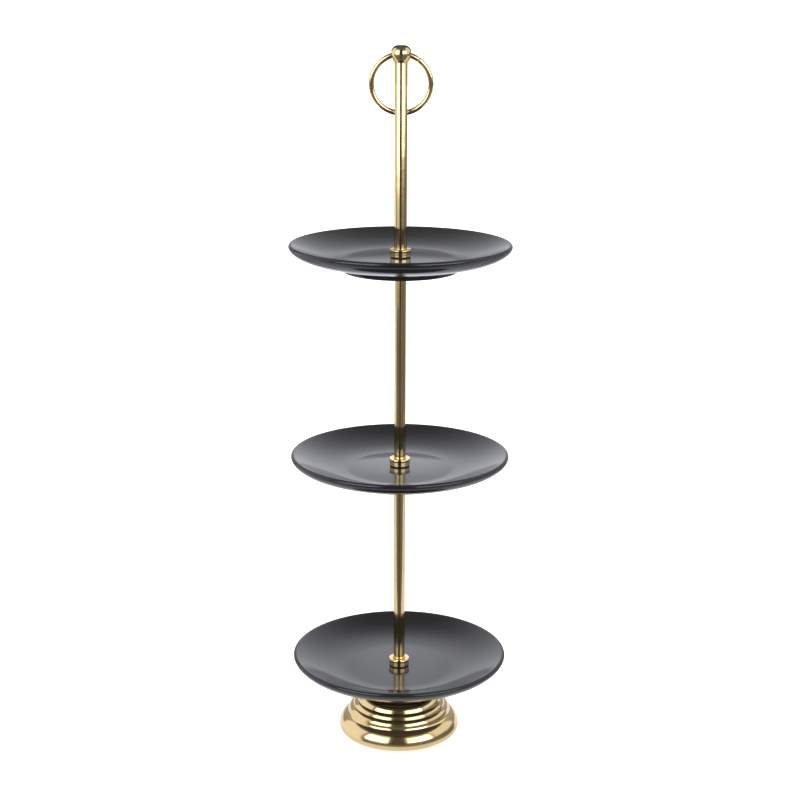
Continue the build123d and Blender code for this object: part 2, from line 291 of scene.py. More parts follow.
# ---------------------------------------------------------------- surfaces
def grid_faces(rows, columns, close_rows):
    """Quads of a grid whose columns wrap round, and whose rows wrap too if close_rows."""
    last = rows if close_rows else rows - 1
    row, column = np.meshgrid(np.arange(last), np.arange(columns), indexing="ij")
    below, right = (row + 1) % rows, (column + 1) % columns
    corners = ((row, column), (row, right), (below, right), (below, column))
    return np.stack([r * columns + c for r, c in corners], axis=-1).reshape(-1, 4)


def enclosed_volume(points, faces):
    """Signed volume: the sum over the faces' triangles of a . (b x c) / 6."""
    total = 0.0
    for i in range(1, faces.shape[1] - 1):
        a, b, c = points[faces[:, 0]], points[faces[:, i]], points[faces[:, i + 1]]
        total += np.einsum("ij,ij->i", a, np.cross(b, c)).sum() / 6
    return total


def lathe(outline, sides):
    """Surface of revolution about Z: an outline point (r, h) at angle a lies at (r cos a, r sin a, h).
    An outline that starts and ends on the axis closes in a pole at each end, and any other closes
    on itself.
    """
    outline = np.asarray(outline, float)
    poles = outline[0, 0] < 1e-7 and outline[-1, 0] < 1e-7
    if not poles and np.linalg.norm(outline[0] - outline[-1]) < 1e-8:
        outline = outline[:-1]
    body = outline[1:-1] if poles else outline
    turn = np.linspace(0, 2 * pi, sides, endpoint=False)
    across, up = body[:, :1] * np.cos(turn), body[:, :1] * np.sin(turn)
    along = np.repeat(body[:, 1:], sides, axis=1)
    points = np.stack((across, up, along), axis=-1).reshape(-1, 3)
    quads = grid_faces(len(body), sides, not poles)
    caps = np.zeros((0, 3), int)
    if poles:
        pole = np.zeros((2, 3))
        pole[:, 2] = outline[[0, -1], 1]
        first, last = len(points), len(points) + 1
        ring = np.arange(sides)
        after = (ring + 1) % sides
        far = (len(body) - 1) * sides
        start_cap = np.stack((np.full(sides, first), after, ring), axis=1)
        finish_cap = np.stack((np.full(sides, last), far + ring, far + after), axis=1)
        caps = np.concatenate((start_cap, finish_cap))
        points = np.concatenate((points, pole))
    volume = enclosed_volume(points, quads)
    if len(caps):
        volume += enclosed_volume(points, caps)
    if volume < 0:
        quads, caps = quads[:, ::-1], caps[:, ::-1]
    return points, quads, caps


def swept_ring(centre, across, up, radius, wire, sides, around):
    """Closed wire: at angle t the centreline is centre + R (sin t across + cos t up), and the wire's
    surface lies w(t) from it, so w may narrow at a seam.
    """
    normal = np.cross(across, up)
    turn = np.linspace(0, 2 * pi, sides, endpoint=False)
    girth = np.linspace(0, 2 * pi, around, endpoint=False)
    outward = np.sin(turn)[:, None] * across + np.cos(turn)[:, None] * up
    size = wire(turn)[:, None]
    points = (
        np.array(centre)
        + (radius + size * np.cos(girth))[..., None] * outward[:, None]
        + (size * np.sin(girth))[..., None] * normal
    ).reshape(-1, 3)
    quads = grid_faces(sides, around, True)
    if enclosed_volume(points - np.array(centre), quads) < 0:
        quads = quads[:, ::-1]
    return points, quads, np.zeros((0, 3), int)


def joined(*surfaces):
    """Several surfaces as one set of points, quads and caps."""
    points, quads, caps, count = [], [], [], 0
    for p, q, c in surfaces:
        points.append(p)
        quads.append(q + count)
        caps.append(c + count)
        count += len(p)
    return np.concatenate(points), np.concatenate(quads), np.concatenate(caps)


def add_piece(name, surface, finishes, nodes, body="stand", sharp=50.0):
    """Mesh object from a surface, smooth but for edges sharper than the angle, riding on its body."""
    points, quads, caps = surface
    mesh = bpy.data.meshes.new(name)
    mesh.from_pydata(points.tolist(), [], quads.tolist() + caps.tolist())
    mesh.validate()
    mesh.shade_smooth()
    mesh.set_sharp_from_angle(angle=radians(sharp))
    for material in finishes:
        mesh.materials.append(finish(material))
    piece = bpy.data.objects.new(name, mesh)
    bpy.context.scene.collection.objects.link(piece)
    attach(piece, body)
    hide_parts(*nodes)
    return piece


# ---------------------------------------------------------------- finishes
def feed(tree, node, inputs):
    """Link each input to another node's output, or set it to a value."""
    for key, value in inputs.items():
        if isinstance(value, bpy.types.NodeSocket):
            tree.links.new(value, node.inputs[key])
        else:
            node.inputs[key].default_value = value
    return node


def add_node(tree, kind, inputs=None):
    """New shader node with the given inputs."""
    return feed(tree, tree.nodes.new("ShaderNode" + kind), inputs or {})


def blank_material(name):
    """Material, its tree and its Object coordinates, with no shader yet."""
    material = bpy.data.materials.new(name)
    material.use_nodes = True
    tree = material.node_tree
    tree.nodes.clear()
    return material, tree, add_node(tree, "TexCoord").outputs["Object"]


def new_material(name):
    """Material with an output and a Principled shader, and its Object coordinates."""
    material, tree, place = blank_material(name)
    surface = add_node(tree, "BsdfPrincipled")
    add_node(tree, "OutputMaterial", {"Surface": surface.outputs["BSDF"]})
    return material, tree, surface, place


def stretched(tree, place, scale):
    """Coordinates multiplied by a scale for each axis."""
    return add_node(tree, "Mapping", {"Vector": place, "Scale": scale}).outputs["Vector"]


def noise(tree, place, scale, detail=3.0, roughness=0.5):
    inputs = {"Vector": place, "Scale": scale, "Detail": detail, "Roughness": roughness}
    return add_node(tree, "TexNoise", inputs).outputs["Fac"]


def mapped(tree, value, low, high, to_low, to_high, smooth=False):
    inputs = {"Value": value, "From Min": low, "From Max": high, "To Min": to_low, "To Max": to_high}
    node = add_node(tree, "MapRange", inputs)
    node.interpolation_type = "SMOOTHSTEP" if smooth else "LINEAR"
    return node.outputs["Result"]


def mixed(tree, factor, first, second):
    """Colour between two, each a colour or another node's output."""
    node = tree.nodes.new("ShaderNodeMix")
    node.data_type = "RGBA"
    tree.links.new(factor, node.inputs["Factor"])
    for key, value in (("A", first), ("B", second)):
        socket = next(s for s in node.inputs if s.name == key and s.type == "RGBA")
        if isinstance(value, bpy.types.NodeSocket):
            tree.links.new(value, socket)
        else:
            socket.default_value = (*value, 1)
    return next(s for s in node.outputs if s.type == "RGBA")


def maths(tree, operation, *values):
    node = add_node(tree, "Math", dict(enumerate(values)))
    node.operation = operation
    return node.outputs["Value"]


def dress(tree, surface, tone, roughness, layers):
    """Colour, roughness, and a bump from several (height, distance) layers, one on another."""
    bump = {}
    for height, distance in layers:
        node = add_node(tree, "Bump", {"Height": height, "Distance": distance, **bump})
        bump = {"Normal": node.outputs["Normal"]}
    feed(tree, surface, {"Base Color": tone, "Roughness": roughness, **bump})


def black_glaze(finishes):
    """Deep gloss glaze: slow ripples from the kiln, thinner glaze in soft patches, a few pinholes."""
    material, tree, surface, place = new_material("black_glaze")
    cloud = mapped(tree, noise(tree, place, 42.0, 4.0), 0.35, 0.75, 0.0, 1.0)
    tone = mixed(tree, cloud, finishes.glaze, finishes.glaze_thin)
    smear = mapped(tree, noise(tree, place, 120.0, 5.0, 0.6), 0.3, 0.8, 0.008, 0.026)
    pits = add_node(tree, "TexVoronoi", {"Vector": place, "Scale": 260.0})
    pinholes = mapped(tree, pits.outputs["Distance"], 0.0, 0.035, 0.0, 1.0, smooth=True)
    dress(tree, surface, tone, smear, [(noise(tree, place, 55.0, 2.0), 0.000016), (pinholes, 0.00001)])
    feed(tree, surface, {"IOR": 1.52})
    return material


def bare_clay(finishes):
    """Unglazed clay: matt, speckled and slightly gritty."""
    material, tree, surface, place = new_material("bare_clay")
    speckle = noise(tree, place, 900.0, 6.0, 0.7)
    dark = tuple(0.55 * c for c in finishes.bare_clay)
    tone = mixed(tree, speckle, dark, finishes.bare_clay)
    dress(tree, surface, tone, mapped(tree, speckle, 0.3, 0.7, 0.55, 0.8), [(speckle, 0.00008)])
    return material


def polished_brass(finishes, name, lines, wave, shine=(0.05, 0.13)):
    """Polished brass: fine polishing lines along the given scale, hand-worn duller patches and a
    slight waviness that bends the reflections.
    """
    material, tree, surface, place = new_material(name)
    patches = mapped(tree, noise(tree, place, 65.0, 4.0), 0.35, 0.75, 0.0, 1.0)
    tone = mixed(tree, patches, finishes.brass, finishes.brass_deep)
    streaks = noise(tree, stretched(tree, place, lines), 1.0, 3.0, 0.6)
    worn = maths(tree, "ADD", maths(tree, "MULTIPLY", streaks, 0.6), maths(tree, "MULTIPLY", patches, 0.4))
    swell = noise(tree, stretched(tree, place, wave), 1.0, 2.0)
    dress(tree, surface, tone, mapped(tree, worn, 0.2, 0.8, *shine), [(swell, 0.0001), (streaks, 0.0000015)])
    feed(tree, surface, {"Metallic": 1.0})
    return material


def black_rubber(finishes, name, grain, depth):
    """Matt rubber with a moulded grain."""
    material, tree, surface, place = new_material(name)
    texture = noise(tree, place, grain, 5.0, 0.65)
    pale = tuple(min(1.0, 1.8 * c) for c in finishes.rubber)
    tone = mixed(tree, texture, finishes.rubber, pale)
    dress(tree, surface, tone, mapped(tree, texture, 0.3, 0.7, 0.55, 0.85), [(texture, depth)])
    return material


def plated_steel(finishes):
    """Plated steel: metal with faint turning marks and a cloudy shine."""
    material, tree, surface, place = new_material("plated_steel")
    marks = noise(tree, stretched(tree, place, (150.0, 150.0, 5000.0)), 1.0, 3.0)
    dull = tuple(0.75 * c for c in finishes.steel)
    tone = mixed(tree, marks, dull, finishes.steel)
    dress(tree, surface, tone, mapped(tree, marks, 0.3, 0.7, 0.22, 0.4), [(marks, 0.00001)])
    feed(tree, surface, {"Metallic": 1.0})
    return material


def finish(name):
    """The named material, made the first time that it is asked for."""
    if name in bpy.data.materials:
        return bpy.data.materials[name]
    finishes = bpy.context.scene.stand_finishes
    makers = {
        "black_glaze": black_glaze,
        "bare_clay": bare_clay,
        "plated_steel": plated_steel,
        "turned_brass": lambda f: polished_brass(f, "turned_brass", (40, 40, 9000), (90, 90, 90)),
        "base_brass": lambda f: polished_brass(f, "base_brass", (40, 40, 9000), (90, 90, 90), (0.11, 0.19)),
        "stem_brass": lambda f: polished_brass(f, "stem_brass", (2500, 2500, 30), (150, 150, 60)),
        "wire_brass": lambda f: polished_brass(f, "wire_brass", (900, 900, 900), (130, 130, 130)),
        "gasket_rubber": lambda f: black_rubber(f, "gasket_rubber", 1500.0, 0.00002),
        "foam_rubber": lambda f: black_rubber(f, "foam_rubber", 2600.0, 0.0002),
    }
    return makers[name](finishes)


# ---------------------------------------------------------------- plates
def plate_outline(sizes, rim, foot, radius, depth, crown):
    """Coupe plate from the hole outwards: level seat, well that falls by the crown, curved wall,
    rounded lip, coupe underside, foot ring and the flat recess inside it.
    """
    well = rim - depth
    under = well - sizes.web
    edge = sizes.well_radius
    lip = np.array((radius - sizes.lip_radius, rim - sizes.lip_radius))
    wall_angle, under_angle = 115.0, -20.0
    roll = arc(lip, sizes.lip_radius, wall_angle, under_angle, 18)
    inner, outer = roll[0], roll[-1]
    wall_pull = inner - 11 * MM * np.array((sin(radians(wall_angle)), -cos(radians(wall_angle))))
    under_pull = outer + 6 * MM * np.array((sin(radians(under_angle)), -cos(radians(under_angle))))
    foot_top = np.array((sizes.foot_outer, well - 5.4 * MM))
    outside, inside = sizes.foot_outer - 0.3 * MM, sizes.foot_inner + 0.6 * MM
    corners = [foot_top, (outside, foot), (inside, foot), (sizes.foot_inner, under)]
    ring = rounded(corners, sizes.foot_rounding, closed=False)
    return chain(
        straight((sizes.hole_radius, well), (sizes.seat_radius, well)),
        cubic(
            (sizes.seat_radius, well),
            (edge - 18 * MM, well),
            (edge - 10 * MM, well - 0.53 * crown),
            (edge, well - crown),
            40,
        ),
        cubic((edge, well - crown), (edge + 15 * MM, well - crown + 0.1 * MM), wall_pull, inner, 60),
        roll,
        cubic(outer, under_pull, (62 * MM, well - 3.7 * MM), foot_top, 40),
        ring,
        path((sizes.foot_inner, under), (sizes.hole_radius, under), (sizes.hole_radius, well)),
    )


class CAKESTAND_OT_plates(bpy.types.Operator):
    """Turn the three glazed plates, each with the bare edge of its foot ring"""

    bl_idname = "cake_stand.add_plates"
    bl_label = "Plates"

    def execute(self, context):
        sizes = context.scene.stand_plates
        for tier in TIERS:
            node = f"{tier}_plate"
            low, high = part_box(node)
            depth, crown = getattr(sizes, f"{tier}_depth"), getattr(sizes, f"{tier}_crown")
            outline = plate_outline(sizes, high[2], low[2], high[0], depth, crown)
            surface = lathe(outline, 256)
            looks = ["black_glaze", "bare_clay"]
            piece = add_piece(f"{tier}_coupe_plate", surface, looks, [node])
            points, quads, caps = surface
            bare = points[quads][..., 2].max(axis=1) < low[2] + 0.25 * MM
            piece.data.polygons.foreach_set("material_index", bare.astype(np.int32))
        return {"FINISHED"}


# ---------------------------------------------------------------- turned brass
def collar_outline(sizes, seat, top, socket):
    """Cup with a rolled lip: a straight wall, a neck, the lip's roll and a dished top round the stem."""
    wall, lip, web = sizes.collar_radius, sizes.collar_lip, seat + sizes.collar_web
    mouth, through = (socket, top - 0.8 * MM), sizes.through_radius
    return chain(
        straight((through, seat), (wall - 0.3 * MM, seat)),
        arc((wall - 0.3 * MM, seat + 0.3 * MM), 0.3 * MM, -90, 0, 5),
        straight((wall, seat + 0.3 * MM), (wall, seat + 3.3 * MM)),
        arc_through((wall, seat + 3.3 * MM), (wall + 0.18 * MM, seat + 3.75 * MM), (lip, seat + 4.0 * MM), 8),
        arc_through((lip, seat + 4.0 * MM), (lip + 0.15 * MM, seat + 4.6 * MM), (lip - 0.3 * MM, top), 12),
        path((lip - 0.3 * MM, top), (socket + 0.5 * MM, top - 0.35 * MM), mouth),
        path(mouth, (socket, web), (through, web), (through, seat)),
    )


class CAKESTAND_OT_collars(bpy.types.Operator):
    """Turn the collar that stands on each plate"""

    bl_idname = "cake_stand.add_collars"
    bl_label = "Collars"

    def execute(self, context):
        sizes = context.scene.stand_metal
        stems = {"bottom": "lower_stem", "middle": "middle_stem", "top": "handle_stem"}
        for tier in TIERS:
            node = f"{tier}_collar"
            low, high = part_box(node)
            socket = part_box(stems[tier])[1][0] + sizes.socket_clearance
            outline = collar_outline(sizes, low[2], high[2], socket)
            add_piece(f"{tier}_lipped_collar", lathe(outline, 96), ["turned_brass"], [node])
        return {"FINISHED"}


class CAKESTAND_OT_supports(bpy.types.Operator):
    """Turn the flanged supports under the middle and the top plate"""

    bl_idname = "cake_stand.add_supports"
    bl_label = "Supports"

    def execute(self, context):
        sizes = context.scene.stand_metal
        stems = {"middle": "lower_stem", "top": "middle_stem"}
        for tier, stem in stems.items():
            node = f"{tier}_support"
            low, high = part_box(node)
            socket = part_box(stem)[1][0] + sizes.socket_clearance
            flange, bottom, top = high[0], low[2], high[2]
            hub, through = sizes.support_hub, sizes.through_radius
            under, web = top - sizes.support_flange, top - sizes.support_web
            outside = [(socket, bottom), (hub, bottom), (hub, under), (flange, under), (flange, top)]
            outline = rounded([*outside, (through, top), (through, web), (socket, web)], 0.3 * MM)
            add_piece(f"{tier}_flanged_support", lathe(outline, 96), ["turned_brass"], [node])
        return {"FINISHED"}


class CAKESTAND_OT_stems(bpy.types.Operator):
    """Turn the three stems, with a tapped hole in both ends"""

    bl_idname = "cake_stand.add_stems"
    bl_label = "Stems"

    def execute(self, context):
        sizes = context.scene.stand_metal
        hole, depth, edge = sizes.tapped_radius, sizes.tapped_length, sizes.stem_edge
        for node in ("lower_stem", "middle_stem", "handle_stem"):
            low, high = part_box(node)
            radius, start, end = high[0], low[2], high[2]
            outline = chain(
                path((0, start + depth), (hole, start + depth), (hole, start), (radius - edge, start)),
                arc((radius - edge, start + edge), edge, -90, 0, 8),
                straight((radius, start + edge), (radius, end - edge)),
                arc((radius - edge, end - edge), edge, 0, 90, 8),
                path((radius - edge, end), (hole, end), (hole, end - depth), (0, end - depth)),
            )
            add_piece(f"{node}_rod", lathe(outline, 128), ["stem_brass"], [node])
        return {"FINISHED"}


def turned_arcs(start, normal, stretches):
    """Points of arcs that run on from each other, each given by its length and by the angle above
    the horizontal that the outward normal has turned to at its end. Along an arc of radius R, r
    grows by R (cos n0 - cos n) and the height falls by R (sin n - sin n0).
    """
    points, normal = np.array([start]), radians(normal)
    for span, finish_normal in stretches:
        turn = np.linspace(normal, radians(finish_normal), max(8, int(2.5 * span)) + 1)
        radius = span * MM / (turn[-1] - normal)
        out = radius * (cos(normal) - np.cos(turn))
        down = radius * (np.sin(turn) - sin(normal))
        points = np.concatenate((points, points[-1] + np.stack((out, -down), axis=1)[1:]))
        normal = turn[-1]
    return points


def pedestal_outline(top, foot, through):
    """Stepped base from the deck down: neck, cove, three beads, a bulging foot, then the hollow inside."""
    deck = 25.0 * MM
    deck_bottom = (top - 5 * MM) / MM
    neck = (24.9 * MM, top - 10.4 * MM)
    outer = turned_arcs(neck, NECK_NORMAL, PEDESTAL_TURNS)
    widest, edge = outer[-1], (37.6 * MM, foot)
    rim = [(deck - 0.6 * MM, top), (deck, top - 0.6 * MM)]
    rim += [(deck, top - 2 * MM), (deck - 0.5 * MM, top - 2.5 * MM)]
    boss = [(20.0, deck_bottom), (BOSS_RADIUS, deck_bottom), (BOSS_RADIUS, BOSS_BOTTOM)]
    bore = [(through / MM, BOSS_BOTTOM), (through / MM, top / MM)]
    return chain(
        path((through, top), *rim, neck),
        outer,
        cubic(widest, (widest[0], 3.0 * MM), (42.3 * MM, 1.3 * MM), edge, 24),
        rounded(np.array([*PEDESTAL_HOLLOW, *boss, *bore]) * MM, 0.4 * MM, closed=False),
    )


class CAKESTAND_OT_pedestal(bpy.types.Operator):
    """Turn the stepped base, hollow underneath"""

    bl_idname = "cake_stand.add_pedestal"
    bl_label = "Base"

    def execute(self, context):
        low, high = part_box("base_pedestal")
        through = context.scene.stand_metal.through_radius
        outline = pedestal_outline(high[2], low[2], through)
        add_piece("stepped_base", lathe(outline, 256), ["base_brass"], ["base_pedestal"])
        return {"FINISHED"}


# ---------------------------------------------------------------- ball and ring
def swing_axis():
    """Point on the axis about which the ring swings."""
    joint = next(j for j in frame["joints"] if j["name"] == "ring_swing")
    return np.array(joint["pos_m"], float)


def knob_outline(sizes, widest, seat, top):
    """Flattened ball from its seat up, with heights from the cross hole's axis: a level seat, a slack
    arc out to the widest, a round shoulder and a small flat cap.
    """
    middle = top - sizes.ball_shoulder
    fall = degrees(asin((middle - seat) / sizes.ball_lower))
    lower = arc((widest - sizes.ball_lower, middle), sizes.ball_lower, -fall, 0, 40)
    cap = widest - sizes.ball_shoulder
    shoulder = arc((cap, middle), sizes.ball_shoulder, 0, 90, 60)
    flat = straight((0, seat), lower[0], longest=0.1 * MM)
    crown = straight((cap, top), (0, top), longest=0.1 * MM)
    return chain(flat, lower, shoulder, crown)


def drilled(outline, centre, hole, sides, steps):
    """Turned knob with a hole along X. Its surface lies at the outline's distance from the centre in
    the direction (sin b, cos b cos a, cos b sin a), out to the b where it meets the hole's wall.
    """
    reach = np.hypot(outline[:, 0], outline[:, 1])
    rise = np.arctan2(outline[:, 1], outline[:, 0])
    a = np.linspace(0, 2 * pi, sides, endpoint=False)

    def distance(b):
        return np.interp(np.arcsin(np.cos(b) * np.sin(a)), rise, reach)

    mouth = np.full(sides, pi / 3)
    for _ in range(30):
        mouth = np.arccos(hole / distance(mouth))
    edge = 0.2 * MM / distance(mouth)
    inside = distance(mouth) * np.sin(mouth) - 0.2 * MM
    rows = []
    for part in np.concatenate(([-1, -0.992], np.linspace(-0.98, 0.98, steps), [0.992, 1])):
        b = part * (mouth - edge)
        away = np.stack((np.sin(b), np.cos(b) * np.cos(a), np.cos(b) * np.sin(a)), axis=1)
        rows.append(away * distance(b)[:, None])
    for part in (1, 0.95, 0.4, -0.4, -0.95, -1):
        rows.append(np.stack((part * inside, hole * np.cos(a), hole * np.sin(a)), axis=1))
    points = np.concatenate(rows)
    quads = grid_faces(len(rows), sides, True)
    if enclosed_volume(points, quads) < 0:
        quads = quads[:, ::-1]
    return points + np.array((0, 0, centre)), quads, np.zeros((0, 3), int)


class CAKESTAND_OT_finial(bpy.types.Operator):
    """Turn the flattened ball, drilled across and flat where it sits on the stem, with its spigot"""

    bl_idname = "cake_stand.add_finial"
    bl_label = "Ball finial"

    def execute(self, context):
        sizes = context.scene.stand_metal
        low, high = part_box("ball_finial")
        centre = swing_axis()[2]
        seat = centre - sizes.ball_seat_drop
        outline = knob_outline(sizes, high[1], -sizes.ball_seat_drop, high[2] - centre)
        shell = drilled(outline, centre, sizes.ball_hole, 192, 110)
        root, crest, pitch = THREAD_ROOT * MM, THREAD_CREST * MM, THREAD_PITCH * MM
        turns = int((seat - low[2]) / pitch)
        heights = low[2] + pitch / 2 * np.arange(2 * turns + 1)
        thread = np.stack((np.where(np.arange(len(heights)) % 2, crest, root), heights), axis=1)
        sunk = seat + 0.2 * MM
        spigot = lathe(np.concatenate(([(0, low[2])], thread, [(root, sunk), (0, sunk)])), 48)
        add_piece("drilled_ball", joined(shell, spigot), ["turned_brass"], ["ball_finial"])
        return {"FINISHED"}


class CAKESTAND_OT_ring(bpy.types.Operator):
    """Bend the wire ring that hangs through the ball, with the butt seam between its ends"""

    bl_idname = "cake_stand.add_ring"
    bl_label = "Ring handle"

    def execute(self, context):
        sizes = context.scene.stand_metal
        low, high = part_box("ring_handle")
        pivot = swing_axis()
        drop = sizes.ring_radius - sizes.ring_offset
        # The ring's lowest wire reaches furthest back, so (drop + R) sin lean + wire = reach.
        lean = asin((high[1] - pivot[1] - sizes.wire_radius) / (drop + sizes.ring_radius))
        up = np.array((0, -sin(lean), cos(lean)))
        centre = pivot - drop * up
        seam = sizes.seam_angle

        def wire(turn):
            """Wire radius: full, but for a narrow dip at the seam that falls off as a bell curve."""
            along = (turn - seam) * sizes.ring_radius
            return sizes.wire_radius * (1 - SEAM_DEPTH * np.exp(-((along / (SEAM_WIDTH * MM)) ** 2)))

        surface = swept_ring(centre, np.array((1.0, 0, 0)), up, sizes.ring_radius, wire, 1400, 32)
        add_piece("wire_ring", surface, ["wire_brass"], ["ring_handle"], body="ring")
        return {"FINISHED"}


# ---------------------------------------------------------------- carried pieces
class CAKESTAND_OT_small_parts(bpy.types.Operator):
    """Give the gaskets, pad, screw, washers and studs their finishes"""

    bl_idname = "cake_stand.finish_small_parts"
    bl_label = "Gaskets and fasteners"

    def execute(self, context):
        worn_by = {
            "gasket_rubber": [f"{tier}_{side}_gasket" for tier in TIERS for side in ("lower", "upper")],
            "foam_rubber": ["base_pad"],
            "plated_steel": ["base_screw", "base_washer", "base_lock_washer", "middle_stud", "top_stud"],
        }
        for name, nodes in worn_by.items():
            for node in nodes:
                slots = frame["nodes"][node].material_slots
                for slot in slots:
                    slot.material = finish(name)
                if not slots:
                    frame["nodes"][node].data.materials.append(finish(name))
        return {"FINISHED"}


# ---------------------------------------------------------------- studio
def stage_object(name, data, **seen_by):
    """Object of the stage, hidden from the kinds of ray that are given as False."""
    thing = bpy.data.objects.new(name, data)
    bpy.context.scene.collection.objects.link(thing)
    for kind, seen in seen_by.items():
        setattr(thing, f"visible_{kind}", seen)
    return thing


def add_floor(finishes, studio):
    """Round pale floor, seen from above only, with a faint glow that keeps the shadow light."""
    material, tree, surface, place = new_material("pale_floor")
    tint = noise(tree, place, 3.0, 2.0)
    soft = tuple(0.985 * c for c in finishes.floor)
    looks = {"Base Color": mixed(tree, tint, soft, finishes.floor), "Roughness": 0.9, "Specular IOR Level": 0.0}
    feed(tree, surface, {**looks, "Emission Color": (1, 1, 1, 1), "Emission Strength": studio.floor_glow})
    output = next(n for n in tree.nodes if n.type == "OUTPUT_MATERIAL")
    below = add_node(tree, "NewGeometry").outputs["Backfacing"]
    clear = add_node(tree, "BsdfTransparent").outputs["BSDF"]
    either = add_node(tree, "MixShader", {"Fac": below, 1: surface.outputs["BSDF"], 2: clear})
    feed(tree, output, {"Surface": either.outputs["Shader"]})
    turn = np.linspace(0, 2 * pi, 96, endpoint=False)
    rim = np.stack((40 * np.cos(turn), 40 * np.sin(turn), 0 * turn), axis=1)
    mesh = bpy.data.meshes.new("floor")
    mesh.from_pydata(rim.tolist(), [], [tuple(range(len(rim)))])
    mesh.materials.append(material)
    floor = stage_object("floor", mesh, diffuse=False, glossy=False, shadow=False, transmission=False)


def constant(tree, level):
    """A level as a node's output."""
    return maths(tree, "ADD", 0.0, level)


def band(tree, value, low, high, soft):
    """1 between low and high, 0 outside, with soft edges."""
    rise = mapped(tree, value, low - soft, low + soft, 0, 1, smooth=True)
    fall = mapped(tree, value, high - soft, high + soft, 1, 0, smooth=True)
    return maths(tree, "MULTIPLY", rise, fall)


def over(tree, below, mask, level):
    """below + mask x (level - below)."""
    gap = maths(tree, "SUBTRACT", level, below)
    return maths(tree, "ADD", below, maths(tree, "MULTIPLY", mask, gap))


def graph(tree, value, points, low, high):
    """Value looked up on a curve through (input, output) points, with inputs from low to high."""
    top = max(level for _, level in points)
    curve = add_node(tree, "FloatCurve")
    spline = curve.mapping.curves[0]
    spots = [((place - low) / (high - low), level / top) for place, level in points]
    for spot in spots[1:-1]:
        spline.points.new(*spot)
    for point, spot in zip(spline.points, spots):
        point.location = spot
        point.handle_type = "VECTOR"
    curve.mapping.update()
    feed(tree, curve, {"Value": mapped(tree, value, low, high, 0, 1)})
    return maths(tree, "MULTIPLY", curve.outputs["Value"], top)


def direction(tree, place):
    """Degrees round from the front, positive to the right, and degrees above the horizon."""
    x, y, z = add_node(tree, "SeparateXYZ", {"Vector": place}).outputs
    turn = maths(tree, "MULTIPLY", maths(tree, "ARCTAN2", x, maths(tree, "MULTIPLY", y, -1.0)), degrees(1))
    flat = maths(tree, "SQRT", maths(tree, "ADD", maths(tree, "MULTIPLY", x, x), maths(tree, "MULTIPLY", y, y)))
    rise = maths(tree, "MULTIPLY", maths(tree, "ARCTAN2", z, flat), degrees(1))
    return turn, rise, z


def add_room(studio):
    """Room as a function of direction: white behind, a pale left wall, a dark side round the camera
    with a pale wall to its right above the horizon, and the white table below. The camera itself
    sees plain white.
    """
    world = bpy.data.worlds.new("studio_room")
    bpy.context.scene.world = world
    world.use_nodes = True
    tree = world.node_tree
    tree.nodes.clear()
    turn, rise, _ = direction(tree, add_node(tree, "TexCoord").outputs["Generated"])
    ceiling = mapped(tree, rise, *CEILING_RISE, 0, 1, smooth=True)
    level = graph(tree, rise, BACK_LEVELS, -90, 90)
    side = over(tree, constant(tree, studio.left_level), ceiling, CEILING_LEVEL)
    level = over(tree, level, band(tree, turn, *LEFT_WALL, 5), side)
    side = over(tree, constant(tree, studio.dark_level), ceiling, CEILING_LEVEL)
    level = over(tree, level, band(tree, turn, *DARK_SIDE, 5), side)
    wall = maths(tree, "MULTIPLY", band(tree, turn, *RIGHT_WALL, 5), band(tree, rise, 6, 55, 4))
    level = over(tree, level, wall, studio.right_level)
    level = over(tree, level, mapped(tree, rise, -15, -18, 0, 1, smooth=True), studio.table_level)
    room = add_node(tree, "Background", {"Color": (*BACKDROP_TINT, 1), "Strength": level}).outputs["Background"]
    plain = add_node(tree, "Background", {"Color": (1, 1, 1, 1), "Strength": 1.0}).outputs["Background"]
    seen = add_node(tree, "LightPath").outputs["Is Camera Ray"]
    either = add_node(tree, "MixShader", {"Fac": seen, 1: room, 2: plain})
    add_node(tree, "OutputWorld", {"Surface": either.outputs["Shader"]})


def add_glow(name, tree_maker, tint, points, faces):
    """Mesh of the stage that only polished surfaces see, glowing at the level that a node tree gives."""
    material, tree, place = blank_material(name)
    light = add_node(tree, "Emission", {"Color": (*tint, 1), "Strength": tree_maker(tree, place)})
    add_node(tree, "OutputMaterial", {"Surface": light.outputs["Emission"]})
    mesh = bpy.data.meshes.new(name)
    mesh.from_pydata(points, [], faces)
    mesh.materials.append(material)
    stage_object(name, mesh, camera=False, diffuse=False, shadow=False, transmission=False)


